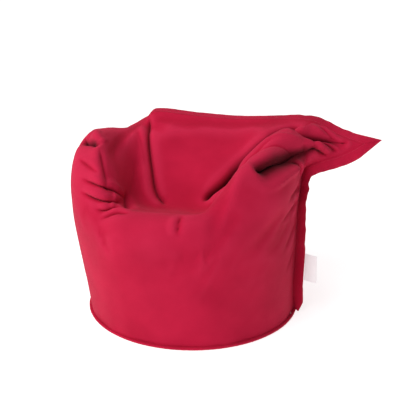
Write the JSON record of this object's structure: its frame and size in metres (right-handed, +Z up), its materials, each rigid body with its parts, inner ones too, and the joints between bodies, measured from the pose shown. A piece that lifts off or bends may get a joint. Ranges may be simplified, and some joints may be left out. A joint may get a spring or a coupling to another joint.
{
  "type": "bean bag chair",
  "caption": "Soft bean-filled lounge chair: round flat base, tall sewn wall, seat pressed into the top between two arms, raised backrest seam and a stuffed corner.",
  "frame": {"origin": "centre of the round base, on the floor", "axes": "+Z up, -Y the front that the sitter faces, +X to the right as seen from the front, towards the ear that stands out"},
  "size_m": [1.1103, 0.8314, 0.66],
  "materials": {
    "cover_cloth": "plain woven cotton blend, matte",
    "cord_cotton": "twisted cotton cord",
    "label_cloth": "woven satin tape",
    "zip_tape": "woven tape, matte",
    "zip_coil": "nylon coil",
    "zip_metal": "plated, satin",
    "liner_cloth": "thin non-woven cloth",
    "liner_zip_tape": "woven tape, matte",
    "liner_zip_coil": "nylon coil",
    "beads": "expanded polystyrene"
  },
  "bodies": {
    "bag": {"front_panel": "cover_cloth", "back_panel": "cover_cloth", "base_front": "cover_cloth", "base_rear": "cover_cloth", "piping_cover": "cover_cloth", "piping_cord": "cord_cotton", "right_flange": "cover_cloth", "top_flange": "cover_cloth", "left_flange": "cover_cloth", "zip_tape_front": "zip_tape", "zip_tape_rear": "zip_tape", "zip_coil_front": "zip_coil", "zip_coil_rear": "zip_coil", "zip_stops": "zip_metal", "liner_bag": "liner_cloth", "liner_base": "liner_cloth", "liner_zip_tape_front": "liner_zip_tape", "liner_zip_tape_rear": "liner_zip_tape", "liner_zip_coil_front": "liner_zip_coil", "liner_zip_coil_rear": "liner_zip_coil", "liner_zip_stops": "zip_metal", "bead_fill": "beads"},
    "cover_zip_slider": {"zip_slider": "zip_metal"},
    "cover_zip_pull": {"zip_pull": "zip_metal"},
    "liner_zip_slider": {"liner_zip_slider": "zip_metal"},
    "side_label": {"side_label": "label_cloth"}
  },
  "joints": [
    {"name": "cover_zip_slide", "type": "slide", "parent": "bag", "child": "cover_zip_slider", "axis": [1, 0, 0], "range_m": [-0.53, 0]},
    {"name": "cover_zip_pull_hinge", "type": "hinge", "parent": "cover_zip_slider", "child": "cover_zip_pull", "pos_m": [0.272, 0.12, 0.0011], "axis": [0, 1, 0], "range_deg": [-150, 0]},
    {"name": "liner_zip_slide", "type": "slide", "parent": "bag", "child": "liner_zip_slider", "axis": [1, 0, 0], "range_m": [-0.282, 0]},
    {"name": "label_hinge", "type": "hinge", "parent": "bag", "child": "side_label", "pos_m": [0.39669, -0.01768, 0.177], "axis": [0, 0, 1], "range_deg": [-75, 75]}
  ]
}
